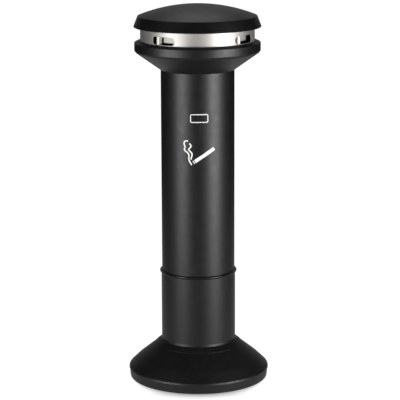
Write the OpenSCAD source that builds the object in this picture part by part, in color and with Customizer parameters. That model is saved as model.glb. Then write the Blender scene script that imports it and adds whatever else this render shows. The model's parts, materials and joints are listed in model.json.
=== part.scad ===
// Free-standing smokers' receptacle: a weighted base with a lower tube, a lift-off upper body
// (tube, flared neck, slotted band, domed cap) and a galvanised canister inside.
// Millimetres, +Z up. The origin is the centre of the footprint on the ground.
// The pictogram is on the -Y side and the key lock is on the +Y side.

/* [Base] */
// Radius of the rim of the base
base_r = 198.2; // [194:0.2:205]
// Radius of the foot of the base, under its slightly drawn-in rim
base_foot_r = 196.2; // [194:0.2:198]
// Height of the rim of the base
base_rim_h = 22.2; // [20:0.1:26]
// How far the shoulder of the cone stands out past the rim
shoulder_out = 1; // [0.5:0.1:2]
// Rounding of the shoulder
shoulder_round = 14; // [4:0.5:16]
// Height at which the cone meets the lower tube
cone_top_z = 108.8; // [106:0.2:112]
// Thickness of the pressed base shell
base_t = 2.4; // [1.6:0.1:3]
// Thickness of the rubber ring under the base
gasket_h = 2.5; // [2:0.5:4]

/* [Tubes] */
// Outer radius of the lower tube
lower_r = 104.75; // [104.5:0.05:106]
// How far the foot of the lower tube flares out
foot_flare = 2.2; // [1:0.1:3]
// Height of the widest part of the lip
lip_z = 307.9; // [290:0.1:330]
// Radius of the lip's rounded edge
lip_r = 2.5; // [2:0.05:3]
// Outer radius of the upper tube
upper_r = 102.9; // [102:0.05:103]
// Wall thickness of the upper tube
upper_t = 1.5; // [1:0.1:2]
// Height of the lower end of the upper tube
upper_z0 = 166; // [160:1:200]
// Height of the upper end of the upper tube
upper_z1 = 882.2; // [860:0.1:900]

/* [Head] */
// Outer radius of the neck rim
rim_r = 175.5; // [174:0.1:177]
// Height of the lower edge of the neck rim
rim_z0 = 936.3; // [935.5:0.1:940]
// Height of the upper edge of the neck rim
rim_z1 = 958.2; // [956:0.1:960]
// Outer radius of the stainless band
band_r = 158.9; // [158:0.05:159.5]
// Thickness of the stainless band
band_t = 1.2; // [0.8:0.1:1.5]
// Height of the middle of the slots
slot_z = 976.4; // [976:0.1:980]
// Height of each slot
slot_h = 21.5; // [16:0.5:22]
// Angle that each slot spans
slot_span = 27; // [22:1:32]
// Angle of the first slot, turned from the front towards +X
slot_a0 = -36.3; // [-45:0.1:0]
// Number of slots and posts
slot_count = 4; // [4:4:4]
// Radius of the round posts that carry the cap
post_r = 8; // [6:0.5:8]
// Height of the lower edge of the ring that ends are stubbed out on
stub_z0 = 969.5; // [966:0.5:976]
// Lower edge of the cap
cap_z0 = 1001.7; // [1000:0.1:1004]
// Radius of the lower edge of the cap
cap_r = 178.2; // [176:0.1:180]
// Height of the edge between the skirt and the dome
dome_z = 1031.5; // [1030:0.1:1034]
// Radius of the edge between the skirt and the dome
dome_r = 166.2; // [164:0.1:168]
// Rise of the dome above its edge
dome_rise = 32.2; // [30:0.1:36]
// Thickness of the cap
cap_t = 2; // [1.2:0.1:2.5]

/* [Canister] */
// Outer radius of the canister
can_r = 84; // [80:0.5:85]
// Height of the canister's bottom edge
can_z0 = 32; // [31:1:40]
// Height of the canister's top edge
can_z1 = 480; // [420:1:485]
// Wall thickness of the canister
can_t = 1; // [0.8:0.1:1.5]
// Radius of the bail from its pivots to the wire's centre
bail_r = 91; // [90:0.5:92]
// Radius of the bail wire
wire_r = 2.2; // [1.8:0.1:2.5]
// Angle of the resting bail below level
bail_droop = 13; // [10:0.5:14]

/* [Markings] */
// Thickness of the printed pictogram
mark_t = 0.35; // [0.3:0.05:0.5]
// Height of the middle of the pictogram's cigarette
mark_z = 658; // [600:1:700]
// Height of the middle of the badge
badge_z = 760.5; // [740:0.5:780]
// Width of the badge
badge_w = 50; // [40:1:60]
// Height of the badge
badge_h = 24; // [16:1:30]

/* [Hidden] */

$fn = 96;
cut = 1;                                     // overshoot of cutting tools
fit_gap = 0.3;                               // gap between parts that slide past each other

// Base
shoulder_r = base_r + shoulder_out;
cone_run = shoulder_r - lower_r;
cone_corner_z = 33;                          // where the cone would meet the shoulder's side
cone_slope = atan((cone_top_z - cone_corner_z) / cone_run);
plate_z0 = gasket_h;
plate_h = 4;
plate_r = 190;
plate_top = plate_z0 + plate_h;
gasket_inner_r = 178;
anchor_pcd = 120;
anchor_r = 5.5;
anchor_count = 4;
screw_pcd = 320;
screw_r = 4;
screw_count = 4;
screw_head_r = 7.5;
screw_head_h = 3;
screw_len = 20;
socket_t = 2.8;
socket_top = upper_z0 - fit_gap;
lower_inner_r = upper_r + fit_gap;
socket_r = lower_inner_r - 0.2;
well_r = socket_r + 0.2;                     // hole in the shell and ballast round the socket tube
collar_r = 122.5;
collar_t = 1.2;
flare_r = lower_r + foot_flare;
lip_out = 108.9;
lip_z0 = lip_z - 3.9;                        // where the lip sits on the lower tube
lip_z1 = lip_z + 4.6;
rest_r0 = 66.5;
rest_r1 = 80;

// Lock
lock_z = 135;
lock_r = 9.5;
lock_face_r = 13;
cam_y0 = 88.4;
cam_y1 = 90.6;
cam_w = 14;
cam_len = 25;
keeper_x0 = 12;
keeper_x1 = 26;
keeper_y0 = 92.5;
keeper_y1 = 94.5;
tab_z0 = 121.5;
tab_z1 = 125.5;
keeper_z1 = 215;

// Head
upper_inner_r = upper_r - upper_t;
neck_r = 171.3;                                // end of the neck's cone, under the rim
neck_z = 931;
shell_t = 1.8;
shelf_z0 = 941.5;
shelf_z1 = 943.5;
shelf_r = 128;
rim_top_r = 163;
rim_top_z = 963.8;
well_wall_r0 = band_r + 0.25;
spigot_z0 = 862;
spigot_r = upper_inner_r - 0.1;
flange_z1 = shelf_z1 + 2;
throat_r = 60;
throat_z0 = 878;
funnel_z = 888;
post_c = 149.5;
post_a0 = slot_a0 - 7.2;
stub_r = post_c - post_r - fit_gap;
stub_t = 1.2;
post_bolt_r = 3;
dome_R = (dome_r * dome_r + dome_rise * dome_rise) / (2 * dome_rise);
skirt_slope = atan((cap_r - dome_r) / (dome_z - cap_z0));
cap_plate_h = 2;

// Canister
can_inner_r = can_r - can_t;
bead_r = 3;
bail_z = can_z1 - 16;
ear_x0 = can_r + 0.05;
ear_x1 = can_r + 8.6;
pivot_hole_r = wire_r + 0.08;
grip_r = 3.8;
grip_half_angle = 22;

function polar(r, a) = [r * cos(a), r * sin(a)];
function arc_points(c, r, a0, a1, n) = [for (i = [0 : n]) c + polar(r, a0 + (a1 - a0) * i / n)];

// A ring between two radii and two heights
module ring(r0, r1, z0, z1) {
    translate([0, 0, z0]) difference() {
        cylinder(r = r1, h = z1 - z0);
        translate([0, 0, -cut]) cylinder(r = r0, h = z1 - z0 + 2 * cut);
    }
}

// Copies its children round the Z axis
module around(count, a0) {
    for (i = [0 : count - 1]) rotate([0, 0, a0 + i * 360 / count]) children();
}

// A cylinder along +Y from y0 to y1, at height z
module along_y(r, y0, y1, z) {
    translate([0, y1, z]) rotate([90, 0, 0]) cylinder(r = r, h = y1 - y0);
}

// Base: pressed shell with a drawn-in rim, a small step, a rounded shoulder and a cone
module base_shell_outline(inset) {
    rim_draft = (base_r - base_foot_r) / (base_rim_h - gasket_h);
    lowest_r = base_foot_r - (gasket_h + cut) * rim_draft;
    rise = cone_slope;
    tangent = shoulder_round * tan((90 - rise) / 2);
    centre = [shoulder_r - shoulder_round, cone_corner_z - tangent];
    round_r = shoulder_round - inset;
    lift = inset / cos(rise);
    polygon(concat(
        [[well_r, -cut], [lowest_r - inset, -cut], [base_r - inset, base_rim_h - inset],
         [shoulder_r - inset, base_rim_h]],
        arc_points(centre, round_r, 4, 90 - rise, 8),
        [[well_r, cone_top_z - lift + (lower_r - well_r) * tan(rise)]]));
}

module base_shell() {
    color([0.09, 0.09, 0.09])
        difference() {
            rotate_extrude($fn = 180) difference() {
                base_shell_outline(0);
                base_shell_outline(base_t);
            }
            translate([0, 0, -10]) cylinder(r = 2 * base_r, h = 10 + gasket_h);
            translate([0, 0, cone_top_z]) cylinder(r = 2 * base_r, h = 20);
        }
}

// Thin weather collar lying on the cone round the foot of the lower tube
module collar_ring() {
    drop = tan(cone_slope);
    lift = collar_t / cos(cone_slope);
    color([0.07, 0.07, 0.07])
        rotate_extrude($fn = 180) polygon([
            [flare_r + 0.1, cone_top_z - (foot_flare + 0.1) * drop],
            [collar_r, cone_top_z - (collar_r - lower_r) * drop],
            [collar_r, cone_top_z - (collar_r - lower_r) * drop + lift],
            [flare_r + 0.1, cone_top_z - (foot_flare + 0.1) * drop + lift]
        ]);
}

module base_gasket() {
    color([0.05, 0.05, 0.05]) ring(gasket_inner_r, base_foot_r, 0, gasket_h);
}

module base_plate() {
    color([0.35, 0.35, 0.36])
        difference() {
            translate([0, 0, plate_z0]) cylinder(r = plate_r, h = plate_h);
            around(anchor_count, 45)
                translate([anchor_pcd / 2, 0, 0]) cylinder(r = anchor_r, h = 20);
            around(screw_count, 45)
                translate([screw_pcd / 2, 0, plate_z0]) base_screw(0.2);
        }
}

// A countersunk screw pointing up, its head flush at z = 0, grown by gap
module base_screw(gap) {
    rotate_extrude() polygon([
        [0, -gap], [screw_head_r + gap, -gap], [screw_head_r + gap, 0.3],
        [screw_r + gap, screw_head_h + gap], [screw_r + gap, screw_len + gap], [0, screw_len + gap]
    ]);
}

// Countersunk screws up through the plate into the ballast
module base_screws() {
    color([0.6, 0.6, 0.6])
        around(screw_count, 45) translate([screw_pcd / 2, 0, plate_z0]) base_screw(0);
}

module ballast_ring() {
    inner = well_r;
    top = 58;
    color([0.3, 0.3, 0.3])
        difference() {
            rotate_extrude($fn = 180) polygon([
                [inner, plate_top], [186, plate_top], [186, 24], [146, top], [inner, top]
            ]);
            around(screw_count, 45)
                translate([screw_pcd / 2, 0, 0]) cylinder(r = screw_r + 0.1, h = plate_z0 + screw_len + 1);
        }
}

// Socket tube: stands on the plate, centres the upper body and is its stop
module socket_tube() {
    color([0.12, 0.12, 0.12])
        difference() {
            ring(socket_r - socket_t, socket_r, plate_top, socket_top);
            along_y(lock_r + 0.5, 80, 120, lock_z);
        }
}

// Lower tube: its foot flares out and sits on the cone
module lower_tube() {
    foot_z = cone_top_z + 0.1;
    flare_z = foot_z - foot_flare * tan(cone_slope);
    flare_h = 6;
    color([0.1, 0.1, 0.1])
        difference() {
            rotate_extrude($fn = 180) polygon([
                [lower_inner_r, foot_z], [lower_r, foot_z], [flare_r, flare_z],
                [flare_r, flare_z + 1.2], [lower_r, foot_z + flare_h],
                [lower_r, lip_z0], [lower_inner_r, lip_z0]
            ]);
            along_y(lock_r + 0.2, 80, 120, lock_z);
        }
}

// Lip round the top of the lower tube: a slope up to the upper tube over a rounded edge
module tube_lip() {
    inner = lower_inner_r + 0.05;
    color([0.04, 0.04, 0.04])
        rotate_extrude($fn = 180) polygon(concat(
            [[inner, lip_z0 + 0.02]],
            arc_points([lip_out - lip_r, lip_z], lip_r, -60, 55, 10),
            [[inner + 0.8, lip_z1], [inner, lip_z1 - 0.3]]));
}

// Raised ring that the canister sits on
module canister_rest() {
    color([0.06, 0.06, 0.06]) ring(rest_r0, rest_r1, plate_top, can_z0 - fit_gap);
}

module lock_housing() {
    color([0.7, 0.7, 0.7])
        difference() {
            union() {
                along_y(lock_r, 95, lower_r + 3, lock_z);
                along_y(lock_face_r, lower_r + 0.1, lower_r + 3, lock_z);
            }
            along_y(6.05, 80, 120, lock_z);
        }
}

module lock_nut() {
    color([0.65, 0.65, 0.65])
        difference() {
            translate([0, 98.2, lock_z]) rotate([90, 0, 0]) cylinder(r = 13.5, h = 3, $fn = 6);
            along_y(lock_r + 0.05, 80, 120, lock_z);
        }
}

// Turning barrel of the lock, with a keyway in its face
module lock_barrel() {
    color([0.75, 0.75, 0.75])
        difference() {
            along_y(6, cam_y1, lower_r + 3.6, lock_z);
            translate([-0.8, lower_r - 2, lock_z - 3.5]) cube([1.6, 10, 7]);
        }
}

// Cam of the lock: stands up when unlocked, and turns over the keeper's tab when locked
module lock_cam() {
    color([0.7, 0.7, 0.7]) {
        along_y(cam_w / 2, cam_y0, cam_y1, lock_z);
        translate([-cam_w / 2, cam_y0, lock_z])
            cube([cam_w, cam_y1 - cam_y0, cam_len]);
    }
}

// Upper body
module upper_tube() {
    color([0.11, 0.11, 0.115]) ring(upper_inner_r, upper_r, upper_z0, upper_z1);
}

module foot_ring() {
    color([0.1, 0.1, 0.1])
        difference() {
            ring(upper_inner_r - 2.5, upper_inner_r - 0.05, upper_z0 + 2, upper_z0 + 14);
            translate([keeper_x0 - 0.2, 80, 150]) cube([keeper_x1 - keeper_x0 + 0.4, 40, 80]);
        }
}

// Strip that hangs below the upper tube, with a tab for the cam to hold down
module lock_keeper() {
    width = keeper_x1 - keeper_x0;
    color([0.6, 0.6, 0.6]) {
        translate([keeper_x0, keeper_y0, tab_z0])
            cube([width, keeper_y1 - keeper_y0, keeper_z1 - tab_z0]);
        translate([keeper_x0, cam_y0 - 0.4, tab_z0])
            cube([width, keeper_y1 - cam_y0 + 0.4, tab_z1 - tab_z0]);
        intersection() {
            translate([keeper_x0, keeper_y0, upper_z0 + 4])
                cube([width, 20, keeper_z1 - upper_z0 - 4]);
            cylinder(r = upper_inner_r - 0.02, h = 400);
        }
    }
}

// Neck: spigot in the tube, flared cone, upright rim, sloping top and a shelf for the band
module neck_bowl() {
    inner_cone_r = spigot_r - shell_t;
    color([0.1, 0.1, 0.105])
        difference() {
            rotate_extrude($fn = 180) polygon([
                [inner_cone_r, spigot_z0],
                [spigot_r, spigot_z0],
                [spigot_r, upper_z1 + 0.02],
                [upper_r, upper_z1 + 0.02],
                [neck_r, neck_z],
                [neck_r + 2.4, neck_z + 2.6],
                [rim_r, rim_z0],
                [rim_r, rim_z1 - 1],
                [rim_r - 0.9, rim_z1],
                [rim_top_r, rim_top_z],
                [well_wall_r0, rim_top_z],
                [well_wall_r0, shelf_z1],
                [shelf_r, shelf_z1],
                [shelf_r, shelf_z0],
                [well_wall_r0, shelf_z0],
                [well_wall_r0 + shell_t, shelf_z0],
                [well_wall_r0 + shell_t, rim_z1 + 0.5],
                [rim_r - shell_t, rim_z1 - 2.5],
                [rim_r - shell_t, rim_z0 + 0.6],
                [neck_r - 0.9, neck_z + 1.4],
                [inner_cone_r, upper_z1 + 1.4]
            ]);
            around(slot_count, post_a0 - 90)
                translate([post_c, 0, shelf_z0 - 5]) cylinder(r = post_bolt_r + 0.3, h = 12);
        }
}

// Funnel that carries the butts from the band down into the canister
module ash_funnel() {
    t = 1.6;
    outer = band_r - 0.05;
    color([0.06, 0.06, 0.06])
        difference() {
            rotate_extrude($fn = 180) polygon([
                [throat_r, throat_z0], [throat_r + t, throat_z0], [throat_r + t, funnel_z],
                [shelf_r - 4, shelf_z1 + 0.02], [outer, shelf_z1 + 0.02], [outer, flange_z1],
                [shelf_r - 5, flange_z1], [throat_r, funnel_z + 1.4]
            ]);
            around(slot_count, post_a0 - 90)
                translate([post_c, 0, shelf_z0 - 5]) cylinder(r = post_bolt_r + 0.3, h = 12);
        }
}

// One slot: a window with round ends, cut straight through the band along a radius
module band_slot() {
    end_r = slot_h / 2;
    half = band_r * sin(slot_span / 2) - end_r;
    depth = 40;
    translate([band_r - depth, 0, slot_z]) rotate([90, 0, 90]) linear_extrude(2 * depth)
        polygon(concat(arc_points([half, 0], end_r, -90, 90, 20),
                       arc_points([-half, 0], end_r, 90, 270, 20)));
}

module slotted_band() {
    color([0.78, 0.77, 0.75])
        difference() {
            ring(band_r - band_t, band_r, flange_z1, cap_z0 - 0.02);
            around(slot_count, slot_a0 - 90) band_slot();
        }
}

// Steel ring hung from the cap behind the slots; ends are stubbed out on it and drop below it
module stub_ring() {
    color([0.78, 0.77, 0.75]) ring(stub_r - stub_t, stub_r, stub_z0, cap_z0 - 0.02);
}

// Round stainless posts that carry the cap, one by each slot
module band_posts() {
    color([0.8, 0.79, 0.76])
        around(slot_count, post_a0 - 90) translate([post_c, 0, flange_z1 + 0.02])
            difference() {
                cylinder(r = post_r, h = cap_z0 - flange_z1 - 0.04);
                translate([0, 0, -cut]) cylinder(r = post_bolt_r + 0.05, h = 20 + cut);
            }
}

// Bolts from under the shelf up into the posts
module post_bolts() {
    head = 4;
    color([0.6, 0.6, 0.6])
        around(slot_count, post_a0 - 90)
            translate([post_c, 0, shelf_z0 - head - 0.02]) {
                cylinder(r = 5.5, h = head, $fn = 6);
                cylinder(r = post_bolt_r, h = head + 20);
            }
}

module cap_plate() {
    color([0.08, 0.08, 0.08])
        translate([0, 0, cap_z0])
            cylinder(r1 = cap_r - cap_t - 0.3, r2 = cap_r - cap_t - 1.2, h = cap_plate_h, $fn = 180);
}

// Outline of the cap, moved in by inset: steep skirt, sharp edge, shallow dome
module cap_outline(inset) {
    dome_a = asin(dome_r / dome_R);
    centre_z = dome_z + dome_rise - dome_R;
    side = inset / cos(skirt_slope);
    shrunk_R = dome_R - inset;
    edge_r = dome_r - side + inset * tan(skirt_slope) * 0.6;
    edge_a = asin(edge_r / shrunk_R);
    polygon(concat(
        [[0, cap_z0 - (inset > 0 ? cut : 0)],
         [cap_r - side + (inset > 0 ? cut * tan(skirt_slope) : 0), cap_z0 - (inset > 0 ? cut : 0)]],
        [for (i = [0 : 16]) [shrunk_R * sin(edge_a * (1 - i / 16)),
                             centre_z + shrunk_R * cos(edge_a * (1 - i / 16))]]));
}

module cap_dome() {
    color([0.1, 0.1, 0.1])
        rotate_extrude($fn = 180) difference() {
            cap_outline(0);
            cap_outline(cap_t);
        }
}

// Markings on the front of the upper tube, wrapped round it
module wrapped_mark() {
    intersection() {
        translate([0, -80, 0]) rotate([90, 0, 0]) linear_extrude(40) children();
        ring(upper_r + 0.01, upper_r + mark_t, 500, 850);
    }
}

// A point on the smooth curve through p1 and p2, a fraction t of the way along
function spline_point(p0, p1, p2, p3, t) =
    0.5 * (2 * p1 + (p2 - p0) * t + (2 * p0 - 5 * p1 + 4 * p2 - p3) * t * t
           + (3 * p1 - p0 - 3 * p2 + p3) * t * t * t);

// A smooth centre line through a list of points
function smooth_line(points, steps) = let (last = len(points) - 1) [
    for (i = [0 : last - 1], k = [0 : steps - 1])
        spline_point(points[max(i - 1, 0)], points[i], points[i + 1], points[min(i + 2, last)],
                     k / steps),
    points[last]
];

// The points beside a centre line, at a signed distance from it
function beside(line, distance) = [
    for (i = [0 : len(line) - 1])
        let (run = line[min(i + 1, len(line) - 1)] - line[max(i - 1, 0)])
            line[i] + distance * [-run.y, run.x] / norm(run)
];

module stroke(points, width) {
    line = smooth_line(points, 3);
    left = beside(line, width / 2);
    right = beside(line, -width / 2);
    polygon(concat(left, [for (i = [len(right) - 1 : -1 : 0]) right[i]]));
}

// One straight bar of the cigarette, from x0 to x1 along its tilted length
module cigarette_bar(x0, x1) {
    width = 9.6;
    translate([-11, mark_z - 19.5]) rotate(33.5)
        translate([x0, -width / 2]) square([x1 - x0, width]);
}

// Burning cigarette and two curls of smoke, as printed on public ash bins
module smoking_symbol() {
    line_w = 3.8;
    left_curl = [[-17, -27], [-24, -15], [-25, -5], [-24.5, 1], [-28.5, 7], [-35, 12],
                 [-37, 17], [-35, 23], [-37.5, 29.5], [-37.5, 35.5], [-34, 39.5], [-27, 39.5]];
    right_curl = [[-19, -12], [-18, -6], [-16, 0], [-17, 6], [-21, 10.5], [-25, 14.5],
                  [-23.5, 19], [-19, 24], [-20, 29], [-23.5, 33]];
    color([0.95, 0.95, 0.95]) {
        wrapped_mark() cigarette_bar(3.4, 67);
        wrapped_mark() cigarette_bar(-1.5, 1);
        for (curl = [left_curl, right_curl])
            wrapped_mark() translate([0, mark_z]) stroke(curl, line_w);
    }
}

module rounded_rectangle(w, h, r) {
    for (x = [-1, 1], y = [-1, 1])
        translate([x * (w / 2 - r), y * (h / 2 - r)]) circle(r = r, $fn = 32);
    square([w - 2 * r, h], center = true);
    square([w, h - 2 * r], center = true);
}

// Blank badge: a dark plate in a thin pale frame
module badge_plate() {
    color([0.12, 0.12, 0.12]) wrapped_mark() translate([4, badge_z])
        rounded_rectangle(badge_w - 5.2, badge_h - 5.2, 3);
}

module badge_frame() {
    color([0.85, 0.85, 0.85]) wrapped_mark() translate([4, badge_z])
        difference() {
            rounded_rectangle(badge_w, badge_h, 5);
            rounded_rectangle(badge_w - 5, badge_h - 5, 3);
        }
}

// Canister
module canister_shell() {
    color([0.6, 0.62, 0.63]) ring(can_inner_r, can_r, can_z0, can_z1 - 2 * bead_r);
}

module canister_bottom() {
    color([0.55, 0.57, 0.58])
        translate([0, 0, can_z0 + 5]) cylinder(r = can_inner_r - 0.02, h = 1.2);
}

module canister_rim() {
    color([0.65, 0.67, 0.68])
        rotate_extrude() translate([can_r - bead_r + 2.5, can_z1 - bead_r])
            circle(r = bead_r - 0.02, $fn = 32);
}

// Two ears on the canister's sides, bored for the ends of the bail
module bail_ears() {
    size = 13;
    color([0.6, 0.62, 0.63])
        for (side = [0, 180]) rotate([0, 0, side]) difference() {
            intersection() {
                union() {
                    translate([60, -size, bail_z - size - 6]) cube([ear_x0 + 2.6 - 60, 2 * size, 2 * size]);
                    translate([60, 0, bail_z]) rotate([0, 90, 0]) cylinder(r = 6.5, h = ear_x1 - 60 - 4);
                }
                translate([0, 0, bail_z - 60]) cylinder(r = 97, h = 120);
            }
            translate([0, 0, bail_z - 60]) cylinder(r = ear_x0, h = 120);
            translate([60, 0, bail_z]) rotate([0, 90, 0]) cylinder(r = pivot_hole_r, h = 60);
        }
}

// Places its children in the resting bail's plane, which leans to the front of the canister
module bail_plane() {
    translate([0, 0, bail_z]) rotate([bail_droop, 0, 0]) mirror([0, 1, 0]) children();
}

module bail_wire() {
    pin_in = 6.4;
    color([0.7, 0.7, 0.7]) bail_plane() {
        rotate_extrude(angle = 180) translate([bail_r, 0]) circle(r = wire_r, $fn = 24);
        for (side = [-1, 1]) translate([side * bail_r, 0, 0]) {
            sphere(r = wire_r, $fn = 24);
            rotate([0, -side * 90, 0]) cylinder(r = wire_r, h = pin_in, $fn = 24);
        }
    }
}

// Moulded sleeve on the middle of the bail
module bail_grip() {
    color([0.08, 0.08, 0.08]) bail_plane()
        rotate([0, 0, 90 - grip_half_angle]) rotate_extrude(angle = 2 * grip_half_angle)
            translate([bail_r, 0]) difference() {
                circle(r = grip_r, $fn = 32);
                circle(r = wire_r + 0.05, $fn = 24);
            }
}

base_shell();
collar_ring();
base_gasket();
base_plate();
base_screws();
ballast_ring();
socket_tube();
lower_tube();
tube_lip();
canister_rest();
lock_housing();
lock_nut();
upper_tube();
foot_ring();
lock_keeper();
neck_bowl();
ash_funnel();
slotted_band();
stub_ring();
band_posts();
post_bolts();
cap_plate();
cap_dome();
smoking_symbol();
badge_plate();
badge_frame();
canister_shell();
canister_bottom();
canister_rim();
bail_ears();
bail_wire();
bail_grip();
lock_barrel();
lock_cam();
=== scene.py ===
"""Looks for the smokers' post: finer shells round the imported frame, procedural materials, studio."""
import json
import math

import bmesh
import bpy
from mathutils import Matrix, Vector


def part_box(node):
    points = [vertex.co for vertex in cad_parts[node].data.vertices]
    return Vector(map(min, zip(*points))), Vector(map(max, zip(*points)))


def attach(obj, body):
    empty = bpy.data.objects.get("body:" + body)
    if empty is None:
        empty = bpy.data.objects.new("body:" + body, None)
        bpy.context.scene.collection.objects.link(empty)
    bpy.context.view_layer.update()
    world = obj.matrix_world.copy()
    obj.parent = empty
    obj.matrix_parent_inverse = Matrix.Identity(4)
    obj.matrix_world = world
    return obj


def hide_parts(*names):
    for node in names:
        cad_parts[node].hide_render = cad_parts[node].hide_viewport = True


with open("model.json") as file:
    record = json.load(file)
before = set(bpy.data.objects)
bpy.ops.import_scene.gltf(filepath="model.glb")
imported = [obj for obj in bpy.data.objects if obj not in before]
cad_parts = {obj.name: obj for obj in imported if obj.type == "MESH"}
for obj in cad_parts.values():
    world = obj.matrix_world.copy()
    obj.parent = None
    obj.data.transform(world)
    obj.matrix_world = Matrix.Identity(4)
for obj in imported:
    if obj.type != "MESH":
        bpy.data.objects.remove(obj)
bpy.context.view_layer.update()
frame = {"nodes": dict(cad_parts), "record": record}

MM = 0.001


# ---------------------------------------------------------------- sizes read from the frame

def top(node):
    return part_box(node)[1].z


def bottom(node):
    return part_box(node)[0].z


def radius(node):
    """Outer radius of a round node that is centred on the Z axis."""
    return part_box(node)[1].x


def joint_place(name):
    """A point on the axis of that joint in the record."""
    joints = frame["record"]["behaviour"]["joints"]
    return Vector(next(joint["pos_m"] for joint in joints if joint["name"] == name))


CONTACT_GAP = 0.1 * MM
FOOT_FLARE = 2.2 * MM
COLLAR_T = 1.2 * MM
LOWER_R = radius("lower_tube") - FOOT_FLARE
LOWER_INNER_R = radius("socket_tube") + 0.2 * MM
UPPER_R = radius("upper_tube")
UPPER_T = 1.5 * MM
FOOT_R = radius("base_gasket")
BASE_R = radius("base_shell") - 1 * MM
CONE_TOP = top("base_shell")
CONE_SLOPE = (CONE_TOP - bottom("collar_ring")) / (radius("collar_ring") - LOWER_R)
BAND_R = radius("slotted_band")
RIM_R = radius("neck_bowl")
BAIL_PIVOT = joint_place("bail_swing")
LOCK_AXIS = joint_place("lock_turn")


def cone_z(r):
    """Height of the base's cone at that radius."""
    return CONE_TOP - (r - LOWER_R) * CONE_SLOPE


# ---------------------------------------------------------------- node materials


class Tree:
    """Short-hand for building a node tree."""

    def __init__(self, tree):
        self.tree = tree
        self.tree.nodes.clear()

    def add(self, kind, **settings):
        node = self.tree.nodes.new(kind)
        for key, value in settings.items():
            setattr(node, key, value)
        return node

    def link(self, source, target):
        self.tree.links.new(source, target)

    def spread(self, value, low, high, from_low=0.3, from_high=0.7, **settings):
        """The value, remapped to low..high."""
        remap = self.add("ShaderNodeMapRange", **settings)
        limits = {"From Min": from_low, "From Max": from_high, "To Min": low, "To Max": high}
        for key, number in limits.items():
            remap.inputs[key].default_value = number
        self.link(value, remap.inputs["Value"])
        return remap.outputs["Result"]

    def ramp(self, value, stops):
        ramp = self.add("ShaderNodeValToRGB")
        elements = ramp.color_ramp.elements
        while len(elements) < len(stops):
            elements.new(0.5)
        for element, (position, colour) in zip(elements, stops):
            element.position = position
            element.color = (*colour, 1)
        self.link(value, ramp.inputs["Fac"])
        return ramp.outputs["Color"]

    def split_by_ray(self, other, camera, output):
        """Camera rays get one shader and all other rays get the other."""
        mix = self.add("ShaderNodeMixShader")
        self.link(self.add("ShaderNodeLightPath").outputs["Is Camera Ray"], mix.inputs["Fac"])
        self.link(other, mix.inputs[1])
        self.link(camera, mix.inputs[2])
        self.link(mix.outputs["Shader"], self.add(output).inputs["Surface"])


class Nodes(Tree):
    """One material: a Principled shader and the nodes that drive it."""

    def __init__(self, name):
        self.material = bpy.data.materials.new(name)
        self.material.use_nodes = True
        super().__init__(self.material.node_tree)
        self.shader = self.add("ShaderNodeBsdfPrincipled")
        output = self.add("ShaderNodeOutputMaterial")
        self.link(self.shader.outputs["BSDF"], output.inputs["Surface"])
        self.place = self.add("ShaderNodeTexCoord").outputs["Object"]

    def base(self, colour, roughness, metallic=0.0, **sockets):
        self.shader.inputs["Base Color"].default_value = (*colour, 1)
        self.shader.inputs["Roughness"].default_value = roughness
        self.shader.inputs["Metallic"].default_value = metallic
        for key, value in sockets.items():
            self.shader.inputs[key.replace("_", " ")].default_value = value

    def scaled_place(self, scale):
        mapping = self.add("ShaderNodeMapping")
        mapping.inputs["Scale"].default_value = scale
        self.link(self.place, mapping.inputs["Vector"])
        return mapping.outputs["Vector"]

    def noise(self, scale, detail=3.0, rough=0.5, stretch=(1, 1, 1), place=None):
        texture = self.add("ShaderNodeTexNoise")
        texture.inputs["Scale"].default_value = scale
        texture.inputs["Detail"].default_value = detail
        texture.inputs["Roughness"].default_value = rough
        self.link(place or self.scaled_place(stretch), texture.inputs["Vector"])
        return texture.outputs["Fac"]

    def bump(self, height, strength, distance):
        bump = self.add("ShaderNodeBump")
        bump.inputs["Strength"].default_value = strength
        bump.inputs["Distance"].default_value = distance
        self.link(height, bump.inputs["Height"])
        previous = self.shader.inputs["Normal"]
        if previous.is_linked:
            self.link(previous.links[0].from_socket, bump.inputs["Normal"])
        self.link(bump.outputs["Normal"], previous)

    def drive(self, value, socket):
        self.link(value, self.shader.inputs[socket])


def powder_coat(name, colour, roughness, grain=0.12):
    """Baked powder paint: fine orange peel, a faint cloudiness in gloss and shade."""
    m = Nodes(name)
    m.base(colour, roughness, Specular_IOR_Level=0.5)
    dark = tuple(c * 0.86 for c in colour)
    light = tuple(c * 1.16 for c in colour)
    m.drive(m.ramp(m.noise(14, 4), [(0.35, dark), (0.65, light)]), "Base Color")
    m.drive(m.spread(m.noise(55, 4), roughness - 0.035, roughness + 0.035), "Roughness")
    m.bump(m.noise(900, 2, 0.6), grain, 0.0002)
    m.bump(m.noise(2600, 2, 0.5), grain * 0.6, 0.0001)
    return m.material


def brushed_round(name, colour, roughness):
    """Stainless steel brushed round the Z axis: long fine lines that follow the band."""
    fineness = 500
    m = Nodes(name)
    m.base(colour, roughness, 1.0)
    split = m.add("ShaderNodeSeparateXYZ")
    m.link(m.place, split.inputs["Vector"])
    angle = m.add("ShaderNodeMath", operation="ARCTAN2")
    m.link(split.outputs["Y"], angle.inputs[0])
    m.link(split.outputs["X"], angle.inputs[1])
    lines = m.add("ShaderNodeCombineXYZ")
    m.link(angle.outputs["Value"], lines.inputs["X"])
    stretched = m.add("ShaderNodeMath", operation="MULTIPLY")
    stretched.inputs[1].default_value = fineness
    m.link(split.outputs["Z"], stretched.inputs[0])
    m.link(stretched.outputs["Value"], lines.inputs["Z"])
    grain = m.noise(5, 6, 0.62, place=lines.outputs["Vector"])
    m.drive(m.spread(grain, roughness - 0.07, roughness + 0.09), "Roughness")
    dull = tuple(c * 0.84 for c in colour)
    m.drive(m.ramp(grain, [(0.3, dull), (0.7, colour)]), "Base Color")
    m.bump(grain, 0.25, 0.0002)
    return m.material


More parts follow.
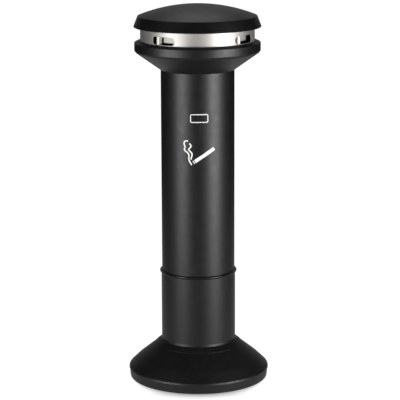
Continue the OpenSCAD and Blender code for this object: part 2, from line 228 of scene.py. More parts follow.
def brushed_along(name, colour, roughness):
    """Drawn bar: fine lines along Z."""
    m = Nodes(name)
    m.base(colour, roughness, 1.0)
    grain = m.noise(900, 4, 0.6, stretch=(1, 1, 0.02))
    m.drive(m.spread(grain, roughness - 0.05, roughness + 0.08), "Roughness")
    m.bump(grain, 0.1, 0.0001)
    return m.material


def galvanised(name):
    """Hot-dipped zinc: angular spangles of slightly different grey and gloss."""
    m = Nodes(name)
    m.base((0.55, 0.57, 0.59), 0.42, 1.0)
    cells = m.add("ShaderNodeTexVoronoi")
    cells.inputs["Scale"].default_value = 75
    warped = m.add("ShaderNodeMixRGB")
    warped.inputs["Fac"].default_value = 0.02
    wobble = m.add("ShaderNodeTexNoise")
    wobble.inputs["Scale"].default_value = 40
    m.link(m.place, wobble.inputs["Vector"])
    m.link(m.place, warped.inputs["Color1"])
    m.link(wobble.outputs["Color"], warped.inputs["Color2"])
    m.link(warped.outputs["Color"], cells.inputs["Vector"])
    grey = m.add("ShaderNodeRGBToBW")
    m.link(cells.outputs["Color"], grey.inputs["Color"])
    zinc_tones = [(0.0, (0.4, 0.42, 0.44)), (1.0, (0.7, 0.72, 0.74))]
    m.drive(m.ramp(grey.outputs["Val"], zinc_tones), "Base Color")
    m.drive(m.spread(grey.outputs["Val"], 0.34, 0.52, 0, 1), "Roughness")
    m.bump(m.noise(300, 3), 0.08, 0.0002)
    return m.material


def plain_metal(name, colour, roughness, tone=0.06):
    """Plated metal with faint tarnish and handling marks."""
    m = Nodes(name)
    m.base(colour, roughness, 1.0)
    stain = m.noise(120, 5)
    dull = tuple(c * (1 - 2 * tone) for c in colour)
    m.drive(m.ramp(stain, [(0.35, dull), (0.65, colour)]), "Base Color")
    m.drive(m.spread(stain, roughness + 0.08, roughness - 0.03), "Roughness")
    m.bump(m.noise(1500, 2), 0.05, 0.0001)
    return m.material


def moulded(name, colour, roughness, grain=0.2, scale=1400):
    """Rubber, plastic or print: an even colour with a fine moulded grain."""
    m = Nodes(name)
    m.base(colour, roughness)
    worn = tuple(min(1.0, c * 1.12 + 0.004) for c in colour)
    m.drive(m.ramp(m.noise(40, 4), [(0.4, colour), (0.7, worn)]), "Base Color")
    m.drive(m.spread(m.noise(200, 3), roughness - 0.05, roughness + 0.05), "Roughness")
    m.bump(m.noise(scale, 2), grain, 0.0002)
    return m.material


def concrete(name):
    """Rough cast concrete with a coarse mottle."""
    m = Nodes(name)
    m.base((0.4, 0.39, 0.37), 0.9)
    tones = [(0.3, (0.3, 0.29, 0.28)), (0.7, (0.5, 0.49, 0.46))]
    m.drive(m.ramp(m.noise(60, 8, 0.7), tones), "Base Color")
    m.bump(m.noise(220, 6, 0.7), 0.6, 0.001)
    return m.material


COAT_BLACK = (0.003, 0.003, 0.0032)
COAT = powder_coat("black_powder_coat", COAT_BLACK, 0.45)
COAT_CAP = powder_coat("black_powder_coat_cap", COAT_BLACK, 0.4)
COAT_BASE = powder_coat("black_powder_coat_base", COAT_BLACK, 0.45)
COAT_INSIDE = powder_coat("black_powder_coat_inside", (0.01, 0.01, 0.011), 0.6)
GLOSS = powder_coat("gloss_black_trim", (0.008, 0.008, 0.009), 0.25, 0.03)
STAINLESS = brushed_round("brushed_stainless", (0.61, 0.59, 0.565), 0.54)
# Painted light: this copy of the band's stainless has a lighter colour, so the ring seen through the
# slots reads as lit.
STUB_RING_PAINTED_LIGHT_STEEL = brushed_round("stub_ring_painted_light_stainless", (0.72, 0.7, 0.67), 0.68)
POST_STEEL = brushed_along("drawn_stainless", (0.8, 0.76, 0.7), 0.6)
GALVANISED = galvanised("galvanised_steel")
ZINC = plain_metal("zinc_plated_steel", (0.66, 0.67, 0.69), 0.3)
CHROME = plain_metal("lock_chrome", (0.78, 0.79, 0.81), 0.12, 0.02)
RUBBER = moulded("black_rubber", (0.02, 0.02, 0.02), 0.8)
PLASTIC = moulded("black_plastic", (0.025, 0.025, 0.027), 0.5)
CONCRETE = concrete("concrete_ballast")
PRINT = moulded("white_print", (0.86, 0.86, 0.85), 0.45, 0.04)
BADGE = moulded("dark_badge", (0.012, 0.012, 0.013), 0.3, 0.03)

CAD_FINISH = {
    COAT: ["lower_tube", "upper_tube", "neck_bowl", "cap_plate"],
    COAT_CAP: ["cap_dome"],
    COAT_BASE: ["base_shell", "collar_ring"],
    COAT_INSIDE: ["socket_tube", "foot_ring", "ash_funnel"],
    GLOSS: ["tube_lip"],
    STAINLESS: ["slotted_band"],
    STUB_RING_PAINTED_LIGHT_STEEL: ["stub_ring"],
    POST_STEEL: ["band_posts"],
    GALVANISED: ["base_plate", "canister_shell", "canister_bottom", "canister_rim", "bail_ears"],
    ZINC: ["base_screws", "lock_nut", "lock_keeper", "post_bolts", "bail_wire", "lock_cam"],
    CHROME: ["lock_housing", "lock_barrel"],
    RUBBER: ["base_gasket"],
    PLASTIC: ["canister_rest", "bail_grip"],
    CONCRETE: ["ballast_ring"],
    PRINT: ["smoking_symbol", "badge_frame"],
    BADGE: ["badge_plate"],
}
CAD_SMOOTH_ANGLE = 25
for material, cad_nodes in CAD_FINISH.items():
    for cad_node in cad_nodes:
        cad_mesh = frame["nodes"][cad_node].data
        cad_mesh.materials.clear()
        cad_mesh.materials.append(material)
        cad_mesh.shade_smooth()
        cad_mesh.set_sharp_from_angle(angle=math.radians(CAD_SMOOTH_ANGLE))


# ---------------------------------------------------------------- mesh helpers

SIDES = 256
SMOOTH_ANGLE = 35
MAX_GUARD = 0.6 * MM
ON_AXIS = 1e-7


def corner(before, point, after, size, steps=6):
    """Points of a round of that radius in the corner at point, with a guard point on each side."""
    p, a, b = Vector(point), Vector(before), Vector(after)
    to_a, to_b = (a - p).normalized(), (b - p).normalized()
    half = to_a.angle(to_b) / 2
    reach = size / math.tan(half)
    centre = p + (to_a + to_b).normalized() * (size / math.sin(half))
    start, end = p + to_a * reach, p + to_b * reach
    u, v = start - centre, end - centre
    arc = u.angle(v)
    points = []
    for i in range(steps + 1):
        t = i / steps
        weight_u = math.sin((1 - t) * arc) / math.sin(arc)
        weight_v = math.sin(t * arc) / math.sin(arc)
        points.append(centre + u * weight_u + v * weight_v)
    guard = min(size * 0.5, MAX_GUARD)
    return [start + to_a * guard, *points, end + to_b * guard]


def rounded(outline, closed=True):
    """Turns (r, z, round) corners into a smooth outline. A round of 0 keeps the corner sharp."""
    count = len(outline)
    points = []
    for i, (r, z, size) in enumerate(outline):
        ends = not closed and i in (0, count - 1)
        if size <= 0 or ends:
            points.append(Vector((r, z)))
            continue
        before, after = outline[i - 1][:2], outline[(i + 1) % count][:2]
        points += corner(before, (r, z), after, size)
    return points


def new_object(name, vertices, faces, material):
    mesh = bpy.data.meshes.new(name)
    mesh.from_pydata(vertices, [], faces)
    mesh.validate()
    mesh.materials.append(material)
    mesh.shade_smooth()
    mesh.set_sharp_from_angle(angle=math.radians(SMOOTH_ANGLE))
    obj = bpy.data.objects.new(name, mesh)
    bpy.context.scene.collection.objects.link(obj)
    return obj


def lathe(name, outline, material, closed=True, sides=SIDES):
    """Turns an outline of (r, z) points round the Z axis. Points at r = 0 become one pole."""
    vertices, rings = [], []
    for r, z in outline:
        if r < ON_AXIS:
            rings.append([len(vertices)])
            vertices.append((0, 0, z))
            continue
        rings.append(list(range(len(vertices), len(vertices) + sides)))
        for k in range(sides):
            a = 2 * math.pi * k / sides
            vertices.append((r * math.cos(a), r * math.sin(a), z))
    faces = []
    pairs = list(zip(rings, rings[1:] + rings[:1])) if closed else list(zip(rings, rings[1:]))
    for low, high in pairs:
        if len(low) == 1 and len(high) == 1:
            continue
        for k in range(sides):
            n = (k + 1) % sides
            if len(low) == 1:
                faces.append((low[0], high[n], high[k]))
            elif len(high) == 1:
                faces.append((low[k], low[n], high[0]))
            else:
                faces.append((low[k], low[n], high[n], high[k]))
    obj = new_object(name, vertices, faces, material)
    make_outward(obj)
    return obj


def make_outward(obj):
    """Turns all face normals outward."""
    work = bmesh.new()
    work.from_mesh(obj.data)
    bmesh.ops.recalc_face_normals(work, faces=work.faces)
    work.to_mesh(obj.data)
    work.free()


def fit(obj, body, slot, *nodes):
    """The piece rides on the body and stands for the CAD nodes, which it hides. The slot argument is not
    used.
    """
    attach(obj, body)
    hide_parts(*nodes)
    return obj


def bend(points, radius, steps=8):
    """A path of points with its inner corners turned into arcs."""
    path = [points[0]]
    for before, point, after in zip(points, points[1:], points[2:]):
        to_a, to_b = (before - point).normalized(), (after - point).normalized()
        half = to_a.angle(to_b) / 2
        centre = point + (to_a + to_b).normalized() * (radius / math.sin(half))
        start = (point + to_a * (radius / math.tan(half)) - centre).normalized()
        end = (point + to_b * (radius / math.tan(half)) - centre).normalized()
        path += [centre + start.slerp(end, k / steps) * radius for k in range(steps + 1)]
    return path + [points[-1]]


def sweep(name, path, radii, material, sides=24):
    """A round bar along a path, with a radius for each point, closed at both ends."""
    vertices, faces = [], []
    side = None
    for i, point in enumerate(path):
        along = (path[min(i + 1, len(path) - 1)] - path[max(i - 1, 0)]).normalized()
        if side is None:
            side = along.orthogonal().normalized()
        side = (side - along * side.dot(along)).normalized()
        other = along.cross(side)
        for k in range(sides):
            a = 2 * math.pi * k / sides
            vertices.append(point + (side * math.cos(a) + other * math.sin(a)) * radii[i])
    for i in range(len(path) - 1):
        for k in range(sides):
            n = (k + 1) % sides
            low, high = i * sides, (i + 1) * sides
            faces.append((low + k, low + n, high + n, high + k))
    last = (len(path) - 1) * sides
    faces.append(tuple(range(sides - 1, -1, -1)))
    faces.append(tuple(range(last, last + sides)))
    obj = new_object(name, vertices, faces, material)
    make_outward(obj)
    return obj


def stand(obj, place):
    """Bakes a placement into the mesh, so that the object itself stays at the origin."""
    obj.data.transform(place)
    obj.data.update()
    return obj


def join_copies(name, outline, places, material, sides=64):
    """One mesh with a turned copy of the outline at each place."""
    parts = [stand(lathe(name, outline, material, sides=sides), place) for place in places]
    work = bmesh.new()
    for part in parts:
        work.from_mesh(part.data)
    for part in parts[1:]:
        bpy.data.objects.remove(part)
    work.to_mesh(parts[0].data)
    work.free()
    parts[0].name = name
    return parts[0]


ALONG_Y = Matrix.Rotation(math.radians(-90), 4, "X")


# ---------------------------------------------------------------- base


def base_shell():
    """Pressed shell: drawn-in rim, a small step under the shoulder, and the cone."""
    sheet = 2.4 * MM
    shoulder = radius("base_shell")
    foot = bottom("base_shell")
    rim_top = 22.2 * MM
    corner_z = 28.6 * MM
    bulge_r = 172 * MM
    neck = LOWER_R - 1 * MM
    outline = rounded([
        (FOOT_R, foot, 1.2 * MM),
        (BASE_R, rim_top, 0.4 * MM),
        (shoulder, rim_top + 0.8 * MM, 0.5 * MM),
        (shoulder, corner_z, 9 * MM),
        (bulge_r, cone_z(bulge_r), 50 * MM),
        (radius("collar_ring"), cone_z(radius("collar_ring")), 0),
        (LOWER_R, CONE_TOP, 0),
        (neck, CONE_TOP, 0),
        (neck, CONE_TOP - sheet * 1.3, 0),
        (bulge_r, cone_z(bulge_r) - sheet * 1.3, 0),
        (shoulder - sheet * 1.5, corner_z - sheet, 7 * MM),
        (BASE_R - sheet, rim_top - sheet, 1 * MM),
        (FOOT_R - sheet, foot, 0.8 * MM),
    ])
    obj = lathe("base_shell_fine", outline, COAT_BASE)
    return fit(obj, "base", "black_powder_coat", "base_shell")


def collar():
    """Thin ring lying on the cone, with a soft outer edge that catches the light."""
    inner, outer = radius("lower_tube") + CONTACT_GAP, radius("collar_ring")
    up = COLLAR_T * math.sqrt(1 + CONE_SLOPE ** 2)
    outline = rounded([
        (inner, cone_z(inner), 0),
        (outer, cone_z(outer), 0),
        (outer + 0.3 * MM, cone_z(outer) + up * 0.75, 0.5 * MM),
        (inner, cone_z(inner) + up, 0),
    ])
    obj = lathe("collar_ring_fine", outline, COAT_BASE)
    return fit(obj, "base", "black_powder_coat", "collar_ring")


def gasket():
    """Rubber ring under the rim, a little inside it."""
    outer, inner = FOOT_R - 0.5 * MM, FOOT_R - 17 * MM
    height = top("base_gasket")
    outline = rounded([
        (inner, 0, 0.6 * MM),
        (outer, 0, 0.9 * MM),
        (outer, height, 0.4 * MM),
        (inner, height, 0),
    ])
    obj = lathe("base_gasket_fine", outline, RUBBER)
    return fit(obj, "base", "black_rubber", "base_gasket")


def lower_tube():
    """Lower tube with a flared foot on the cone."""
    flare = radius("lower_tube")
    foot = CONE_TOP + CONTACT_GAP
    flare_z = foot - FOOT_FLARE * CONE_SLOPE
    high = top("lower_tube")
    outline = rounded([
        (LOWER_INNER_R, foot, 0),
        (LOWER_R, foot, 0),
        (flare, flare_z, 0.3 * MM),
        (flare, flare_z + 1.6 * MM, 0.8 * MM),
        (LOWER_R, foot + 5 * MM, 2 * MM),
        (LOWER_R, high, 0),
        (LOWER_INNER_R, high, 0),
    ])
    obj = lathe("lower_tube_fine", outline, COAT)
    return fit(obj, "base", "black_powder_coat", "lower_tube")


def lip():
    """Glossy lip: it slopes up to the upper tube and rolls over to the lower tube."""
    inner, outer = LOWER_INNER_R + 0.05 * MM, radius("tube_lip")
    low, high = bottom("tube_lip"), top("tube_lip")
    outline = rounded([
        (inner, low, 0),
        (LOWER_R + 0.6 * MM, low, 0.5 * MM),
        (outer, low + 3.0 * MM, 1.8 * MM),
        (outer, low + 6.1 * MM, 1.6 * MM),
        (inner + 1.2 * MM, high, 0.8 * MM),
        (inner, high - 0.6 * MM, 0.3 * MM),
    ])
    obj = lathe("tube_lip_fine", outline, GLOSS)
    return fit(obj, "base", "gloss_black_trim", "tube_lip")


def lock_housing():
    """Chromed ring of the key lock, turned about the lock's axis."""
    face_r, body_r, bore = 13 * MM, 9.5 * MM, 6.05 * MM
    face_y, wall_y, back_y = LOWER_R + 3 * MM, LOWER_R + CONTACT_GAP, 95 * MM
    outline = rounded([
        (bore, back_y, 0),
        (body_r, back_y, 0.4 * MM),
        (body_r, wall_y, 0),
        (face_r, wall_y, 0.3 * MM),
        (face_r, wall_y + 1.2 * MM, 0.6 * MM),
        (face_r - 2.6 * MM, face_y, 1.2 * MM),
        (bore + 1.2 * MM, face_y, 0.4 * MM),
        (bore, face_y - 0.9 * MM, 0.3 * MM),
    ])
    obj = lathe("lock_housing_fine", outline, CHROME, sides=96)
    stand(obj, Matrix.Translation((0, 0, LOCK_AXIS.z)) @ ALONG_Y)
    return fit(obj, "base", "lock_chrome", "lock_housing")


# ---------------------------------------------------------------- upper body


def upper_tube():
    """Long tube with an eased foot."""
    inner = UPPER_R - UPPER_T
    low, high = bottom("upper_tube"), top("upper_tube")
    outline = rounded([
        (inner, low, 0.4 * MM),
        (UPPER_R, low, 0.5 * MM),
        (UPPER_R, high, 0),
        (inner, high, 0),
    ])
    obj = lathe("upper_tube_fine", outline, COAT)
    return fit(obj, "upper_body", "black_powder_coat", "upper_tube")


def neck():
    """Spun neck: spigot, weld at the tube, flared cone, upright rim, sloping top and the well."""
    sheet = 1.8 * MM
    tube_top, low = top("upper_tube"), bottom("neck_bowl")
    weld_z = tube_top + 0.02 * MM
    spigot = UPPER_R - UPPER_T - CONTACT_GAP
    rim_low, rim_high, high = 936.3 * MM, 958.2 * MM, top("neck_bowl")
    cone_r, cone_end = RIM_R - 4.2 * MM, 931 * MM
    shelf, shelf_r = bottom("slotted_band") - 2 * MM, 128 * MM
    well, mouth = BAND_R + 0.25 * MM, 163 * MM
    outline = rounded([
        (spigot - sheet, low, 0.4 * MM),
        (spigot, low, 0.5 * MM),
        (spigot, weld_z, 0),
        (UPPER_R, weld_z, 0.3 * MM),
        (cone_r, cone_end, 2.5 * MM),
        (RIM_R, rim_low, 1.8 * MM),
        (RIM_R, rim_high, 1.6 * MM),
        (mouth, high, 0.9 * MM),
        (well, high, 0.5 * MM),
        (well, shelf, 0),
        (shelf_r, shelf, 0.4 * MM),
        (shelf_r, shelf - 2 * MM, 0.4 * MM),
        (well + sheet, shelf - 2 * MM, 0.8 * MM),
        (well + sheet, rim_high + 0.5 * MM, 1 * MM),
        (RIM_R - sheet, rim_high - 2.5 * MM, 1 * MM),
        (RIM_R - sheet, rim_low + 0.6 * MM, 1 * MM),
        (cone_r - 0.9 * MM, cone_end + 1.4 * MM, 1 * MM),
        (spigot - sheet, tube_top + 1.4 * MM, 1 * MM),
    ])
    obj = lathe("neck_bowl_fine", outline, COAT)
    return fit(obj, "upper_body", "black_powder_coat", "neck_bowl")


SLOT_COUNT = 4
SLOT_ANGLE = -36.3
SLOT_SPAN = 27
SLOT_H = 21.5 * MM
SLOT_Z = 976.4 * MM
BAND_T = 1.2 * MM
WELD_DISTANCE = 0.02 * MM


def round_the_band(degrees):
    """The same turn in each of the band's quarters, in radians; 0 faces the front."""
    return [math.radians(degrees - 90 + k * 360 / SLOT_COUNT) for k in range(SLOT_COUNT)]


def stadium(half, end_r, count):
    """Points round a slot with round ends, and the outward direction at each."""
    straight, curve = 2 * half, math.pi * end_r
    total = 2 * (straight + curve)
    for k in range(count):
        d = total * k / count
        if d < half:
            yield (d, end_r), (0, 1)
        elif d < half + curve:
            a = math.pi / 2 - (d - half) / end_r
            yield (half + end_r * math.cos(a), end_r * math.sin(a)), (math.cos(a), math.sin(a))
        elif d < half + curve + straight:
            yield (half - (d - half - curve), -end_r), (0, -1)
        elif d < half + 2 * curve + straight:
            a = -math.pi / 2 - (d - half - curve - straight) / end_r
            yield (-half + end_r * math.cos(a), end_r * math.sin(a)), (math.cos(a), math.sin(a))
        else:
            yield (d - total, end_r), (0, 1)


def on_quarter_edge(points, half_width, above, below):
    """Moves the points straight out from the slot's middle to the edge of its quarter of the band."""
    moved, tiny = [], 1e-9
    for u, v in points:
        reach = above if v > 0 else below
        scale = min(half_width / max(abs(u), tiny), reach / max(abs(v), tiny))
        moved.append((u * scale, v * scale))
    for u in (-half_width, half_width):
        for v in (-below, above):
            nearest = min(range(len(moved)), key=lambda k: (Vector(moved[k]) - Vector((u, v))).length)
            moved[nearest] = (u, v)
    return moved


def band():
    """Stainless band: round slots with rolled edges, each in its own quarter of the band."""
    low, high = bottom("slotted_band"), top("slotted_band")
    count, rings, sharp_angle = 120, 14, 50
    end_r = SLOT_H / 2
    quarter = math.pi * BAND_R / SLOT_COUNT
    half = math.radians(SLOT_SPAN / 2) * BAND_R - end_r
    outer_edge = [(0.0, 0.5), (0.05, 0.22), (0.22, 0.05), (0.5, 0.0), (1.2, 0.0)]
    inner_edge = [(0.0, 0.9), (0.08, 1.12), (0.3, 1.2), (1.0, 1.2)]
    around = list(stadium(half, end_r, count))
    far = on_quarter_edge([point for point, _ in around], quarter, high - SLOT_Z, SLOT_Z - low)

    def layer(edge_mm, blend=0):
        """A loop round the slot at (distance, depth) from its edge, blended out to the quarter's edge."""
        offset, depth = edge_mm[0] * MM, edge_mm[1] * MM
        points = []
        for ((u, v), (nu, nv)), (fu, fv) in zip(around, far):
            bu, bv = u + nu * offset, v + nv * offset
            points.append((bu + (fu - bu) * blend, bv + (fv - bv) * blend, depth))
        return points

    layers = [layer(inner_edge[-1], k / rings) for k in range(rings, 0, -1)]
    layers += [layer(edge) for edge in reversed(inner_edge)]
    layers += [layer(edge) for edge in outer_edge]
    layers += [layer(outer_edge[-1], k / rings) for k in range(1, rings + 1)]
    vertices, faces = [], []
    for middle in round_the_band(SLOT_ANGLE):
        start = len(vertices)
        for u, v, depth in (point for points in layers for point in points):
            a = middle + u / BAND_R
            r = BAND_R - depth
            vertices.append((r * math.cos(a), r * math.sin(a), SLOT_Z + v))
        for i in range(len(layers) - 1):
            for k in range(count):
                n = (k + 1) % count
                a, b = start + i * count, start + (i + 1) * count
                faces.append((a + k, a + n, b + n, b + k))
    obj = new_object("slotted_band_fine", vertices, faces, STAINLESS)
    work = bmesh.new()
    work.from_mesh(obj.data)
    bmesh.ops.remove_doubles(work, verts=work.verts, dist=WELD_DISTANCE)
    rims = [e for e in work.edges if e.is_boundary]
    bmesh.ops.bridge_loops(work, edges=[e for e in rims if e.verts[0].co.z > SLOT_Z])
    bmesh.ops.bridge_loops(work, edges=[e for e in rims if e.verts[0].co.z < SLOT_Z])
    bmesh.ops.recalc_face_normals(work, faces=work.faces)
    work.to_mesh(obj.data)
    work.free()
    obj.data.shade_smooth()
    obj.data.set_sharp_from_angle(angle=math.radians(sharp_angle))
    return fit(obj, "upper_body", "brushed_stainless", "slotted_band")


def stub_ring():
    """Steel ring behind the slots, with an eased lower edge."""
    outer, low, high = radius("stub_ring"), bottom("stub_ring"), top("stub_ring")
    inner = outer - BAND_T
    outline = rounded([
        (inner, low, 0.4 * MM),
        (outer, low, 0.5 * MM),
        (outer, high, 0),
        (inner, high, 0),
    ])
    # The ring takes the lightened steel: painted light behind the slots.
    obj = lathe("stub_ring_fine", outline, STUB_RING_PAINTED_LIGHT_STEEL)
    return fit(obj, "upper_body", "brushed_stainless", "stub_ring")


def posts():
    """Drawn stainless posts with chamfered ends, one by each slot."""
    ring_r, post_r, chamfer = 149.5 * MM, 8 * MM, 0.8 * MM
    from_slot = -7.2
    low, high = bottom("band_posts"), top("band_posts")
    outline = rounded([
        (0, low, 0),
        (post_r, low, chamfer),
        (post_r, high, chamfer),
        (0, high, 0),
    ], closed=False)
    places = [Matrix.Translation((ring_r * math.cos(a), ring_r * math.sin(a), 0))
              for a in round_the_band(SLOT_ANGLE + from_slot)]
    obj = join_copies("band_posts_fine", outline, places, POST_STEEL)
    return fit(obj, "upper_body", "brushed_stainless", "band_posts")


def cap():
    """Spun cap: shallow dome, crisp edge, steep skirt and a hem turned under."""
    sheet = 2 * MM
    cap_r, low, high = radius("cap_dome"), bottom("cap_dome"), top("cap_dome")
    edge_r, edge_z = cap_r - 12 * MM, 1031.5 * MM
    rise = high - edge_z
    ball = (edge_r ** 2 + rise ** 2) / (2 * rise)
    steps = 40

    def dome(inset):
        reach = math.asin((edge_r - inset) / ball)
        return [((ball - inset) * math.sin(reach * k / steps),
                 high - ball + (ball - inset) * math.cos(reach * k / steps)) for k in range(steps)]

    slant = (cap_r - edge_r) / (edge_z - low)
    skirt = rounded([
        (*dome(0)[-1], 0),
        (edge_r, edge_z, 1.3 * MM),
        (cap_r - slant * 1 * MM, low, 1.2 * MM),
        (cap_r - 2.6 * MM, low, 0.6 * MM),
        (cap_r - 2.6 * MM - slant * 6 * MM, low + 6 * MM, 0),
        (edge_r - sheet, edge_z - sheet * 0.5, 1 * MM),
        (*dome(sheet)[-1], 0),
    ], closed=False)
    outline = dome(0)[:-1] + skirt + list(reversed(dome(sheet)[:-1]))
    obj = lathe("cap_dome_fine", outline, COAT_CAP, closed=False)
    return fit(obj, "upper_body", "black_powder_coat", "cap_dome")


# ---------------------------------------------------------------- canister


CANISTER_SIDES = 160


def canister_shell():
    """Bucket wall with two pressed beads round it."""
    wall, outer = 1 * MM, 84 * MM
    bead_rise, bead_half, steps = 1.6 * MM, 6 * MM, 6
    low, high = bottom("canister_shell"), top("canister_shell")
    profile = [(outer, low)]
    for middle in (low + 90 * MM, low + 330 * MM):
        for k in range(-steps, steps + 1):
            t = k / steps
            bulge = bead_rise * math.cos(t * math.pi / 2) ** 2
            profile.append((outer + bulge, middle + t * bead_half))
    profile.append((outer, high))
    inside = [(r - wall, z) for r, z in reversed(profile)]
    obj = lathe("canister_shell_fine", profile + inside, GALVANISED, sides=CANISTER_SIDES)
    return fit(obj, "canister", "galvanised_steel", "canister_shell")


def canister_rim():
    """Rolled rim, a plain ring of round section."""
    low, high, steps = bottom("canister_rim"), top("canister_rim"), 24
    bead, middle = (high - low) / 2, (low + high) / 2
    ring_r = radius("canister_rim") - bead
    turns = [2 * math.pi * k / steps for k in range(steps)]
    circle = [(ring_r + bead * math.cos(a), middle + bead * math.sin(a)) for a in turns]
    obj = lathe("canister_rim_fine", circle, GALVANISED, sides=CANISTER_SIDES)
    return fit(obj, "canister", "galvanised_steel", "canister_rim")


def canister_bottom():
    """Bottom disc, thinned by a dish on each face inside a flat border."""
    disc, low, sheet = radius("canister_bottom"), bottom("canister_bottom"), 1.2 * MM
    dish, border, dish_r = 0.1 * MM, disc - 6 * MM, disc - 9 * MM
    outline = rounded([
        (0, low + dish, 0),
        (dish_r, low + dish, 0),
        (border, low, 0),
        (disc, low, 0.2 * MM),
        (disc, low + sheet, 0.2 * MM),
        (border, low + sheet, 0),
        (dish_r, low + sheet - dish, 0),
        (0, low + sheet - dish, 0),
    ], closed=False)
    obj = lathe("canister_bottom_fine", outline, GALVANISED, closed=False, sides=CANISTER_SIDES)
    return fit(obj, "canister", "galvanised_steel", "canister_bottom")


BOW_R = 91 * MM
BAIL_DROOP = 13
BAIL_PLACE = Matrix.Translation(BAIL_PIVOT) @ Matrix.Rotation(math.radians(BAIL_DROOP), 4, "X")


def on_bow(a):
    """A point of the bail's half circle, in the bail's own plane."""
    return Vector((BOW_R * math.cos(a), -BOW_R * math.sin(a), 0))


def bail_wire():
    """Wire bail with bent-in ends, resting on the front of the canister."""
    wire_r, pin, bend_r, steps = 2.2 * MM, 6.4 * MM, 2.3 * MM, 96
    start = math.radians(3)
    arc = [on_bow(start + (math.pi - 2 * start) * k / steps) for k in range(steps + 1)]
    ends = bend([Vector((BOW_R - pin, 0, 0)), Vector((BOW_R, 0, 0)), arc[0]], bend_r)[:-1]
    path = ends + arc + [Vector((-p.x, p.y, p.z)) for p in reversed(ends)]
    obj = stand(sweep("bail_wire_fine", path, [wire_r] * len(path), ZINC), BAIL_PLACE)
    return fit(obj, "bail", "zinc_plated_steel", "bail_wire")


def bail_grip():
    """Ribbed grip in the middle of the bail, with eased ends."""
    grip_r, rib_depth = 3.8 * MM, 0.3 * MM
    ease, ease_slope = 0.9 * MM, 0.8
    half_turn, ribs, steps_per_rib = math.radians(22), 9, 10
    steps = steps_per_rib * ribs
    spine, radii = [], []
    for k in range(steps + 1):
        t = k / steps
        spine.append(on_bow(math.pi / 2 - half_turn + 2 * half_turn * t))
        rib = rib_depth * (0.5 - 0.5 * math.cos(2 * math.pi * ribs * t))
        from_end = min(t, 1 - t) * 2 * half_turn * BOW_R
        radii.append(grip_r - rib - max(0, ease - from_end) * ease_slope)
    obj = stand(sweep("bail_grip_fine", spine, radii, PLASTIC, 32), BAIL_PLACE)
    return fit(obj, "bail", "black_plastic", "bail_grip")


base_shell()
collar()
gasket()
lower_tube()
lip()
lock_housing()
upper_tube()
neck()
band()
stub_ring()
posts()
cap()
canister_shell()
canister_rim()
canister_bottom()
bail_wire()
bail_grip()


# ---------------------------------------------------------------- camera

CAMERA_AT = Vector((0, -4.926, 1.5818))
CAMERA_DOWN = 12.276
CAMERA_YAW = -0.064
CAMERA_ROLL = -0.2
LENS = 160.6


def make_camera():
    """Long lens, a little above the cap and looking down at the post."""
    data = bpy.data.cameras.new("camera")
    data.lens = LENS
    data.sensor_width = 36
    data.clip_end = 100
    camera = bpy.data.objects.new("camera", data)
    bpy.context.scene.collection.objects.link(camera)
    turn = (Matrix.Rotation(math.radians(CAMERA_YAW), 4, "Z")
            @ Matrix.Rotation(math.radians(90 - CAMERA_DOWN), 4, "X")
            @ Matrix.Rotation(math.radians(CAMERA_ROLL), 4, "Z"))
    camera.matrix_world = Matrix.Translation(CAMERA_AT) @ turn
    bpy.context.scene.camera = camera


make_camera()


# ---------------------------------------------------------------- studio

def softbox(name, azimuth, distance, height, size, power, aim_z=None):
    """A rectangular area light; azimuth 0 is the camera's side and turns towards +X."""
    data = bpy.data.lights.new(name, "AREA")
    data.shape = "RECTANGLE"
    data.size, data.size_y = size
    data.energy = power
    light = bpy.data.objects.new(name, data)
    a = math.radians(azimuth)
    light.location = (distance * math.sin(a), -distance * math.cos(a), height)
    aim = Vector((0, 0, height if aim_z is None else aim_z)) - light.location
    light.rotation_mode = "QUATERNION"
    light.rotation_quaternion = aim.to_track_quat("-Z", "Y")
    light.visible_camera = False
    bpy.context.scene.collection.objects.link(light)
    return light


FLOOR_REACH = 14
CONTACT_REACH = 0.06
BACKDROP = 1.05


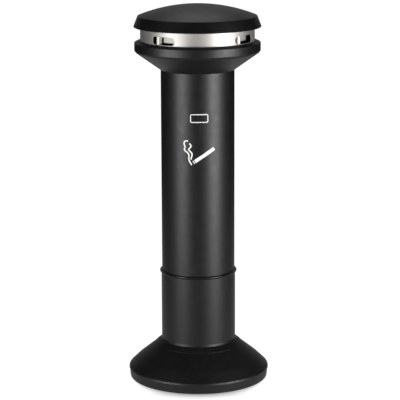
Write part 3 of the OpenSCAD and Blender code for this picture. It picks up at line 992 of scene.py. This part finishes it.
def make_floor():
    """A wide pale floor. The camera sees it white with a painted contact shadow, drawn from an ambient
    occlusion node and not cast by the lamps, that fades out towards the back; on the object it glows
    dimly, most of all close by and behind."""
    mesh = bpy.data.meshes.new("floor")
    corners = [(x * FLOOR_REACH, y * FLOOR_REACH, 0) for x, y in ((-1, -1), (1, -1), (1, 1), (-1, 1))]
    mesh.from_pydata(corners, [], [(0, 1, 2, 3)])
    floor = bpy.data.objects.new("floor", mesh)
    bpy.context.scene.collection.objects.link(floor)
    material = bpy.data.materials.new("pale_floor")
    material.use_nodes = True
    m = Tree(material.node_tree)
    place = m.add("ShaderNodeTexCoord").outputs["Object"]

    # Painted shadow: ambient occlusion, faded towards the back, sets how grey the floor's emission is for
    # the camera.
    contact = m.add("ShaderNodeAmbientOcclusion", samples=16)
    contact.inputs["Distance"].default_value = CONTACT_REACH
    depth = m.add("ShaderNodeSeparateXYZ")
    m.link(place, depth.inputs["Vector"])
    shade = m.add("ShaderNodeMath", operation="ADD")
    m.link(contact.outputs["AO"], shade.inputs[0])
    m.link(m.spread(depth.outputs["Y"], 0, 0.5, -0.2, -0.05), shade.inputs[1])
    seen = m.add("ShaderNodeEmission")
    # Painted shadow tones, from dark grey at the base up to the white backdrop.
    tones = ((0.5, 0.36), (0.78, 0.66), (0.96, BACKDROP))
    greys = [(position, (tone, tone, tone)) for position, tone in tones]
    m.link(m.ramp(shade.outputs["Value"], greys), seen.inputs["Color"])

    near = m.add("ShaderNodeVectorMath", operation="LENGTH")
    m.link(place, near.inputs[0])
    behind = m.add("ShaderNodeVectorMath", operation="DISTANCE")
    m.link(place, behind.inputs[0])
    behind.inputs[1].default_value = (0, 1.6, 0)
    total = m.add("ShaderNodeMath", operation="ADD")
    m.link(m.spread(near.outputs["Value"], 0.42, 0.0, 0.3, 2.4), total.inputs[0])
    m.link(m.spread(behind.outputs["Value"], 0.42, 0.0, 0.5, 1.5), total.inputs[1])
    glow = m.add("ShaderNodeEmission")
    m.link(total.outputs["Value"], glow.inputs["Strength"])

    m.split_by_ray(glow.outputs["Emission"], seen.outputs["Emission"], "ShaderNodeOutputMaterial")
    mesh.materials.append(material)


FILL = 0.022
BACK_GLOW = 0.24


def make_world():
    """White all round for the camera; for everything else dim, with a soft glow low behind."""
    world = bpy.data.worlds.new("studio")
    bpy.context.scene.world = world
    world.use_nodes = True
    m = Tree(world.node_tree)
    toward = m.add("ShaderNodeVectorMath", operation="DOT_PRODUCT")
    m.link(m.add("ShaderNodeTexCoord").outputs["Generated"], toward.inputs[0])
    toward.inputs[1].default_value = (0, 0.985, 0.17)
    fill, backdrop = m.add("ShaderNodeBackground"), m.add("ShaderNodeBackground")
    for background in (fill, backdrop):
        background.inputs["Color"].default_value = (1, 1, 1, 1)
    strength = m.spread(toward.outputs["Value"], FILL, FILL + BACK_GLOW, 0.72, 0.97,
                        interpolation_type="SMOOTHSTEP")
    m.link(strength, fill.inputs["Strength"])
    backdrop.inputs["Strength"].default_value = BACKDROP
    m.split_by_ray(fill.outputs[0], backdrop.outputs[0], "ShaderNodeOutputWorld")


make_floor()
make_world()
softbox("left_box", -48.5, 2.2, 0.58, (1.15, 1.14), 33.8)
softbox("right_box", 51, 2.2, 0.58, (1.15, 1.14), 48.6)
softbox("back_box", 180, 1.6, 3.1, (1.2, 1.0), 5.5, 1.0)
bpy.context.scene.view_settings.view_transform = "Standard"
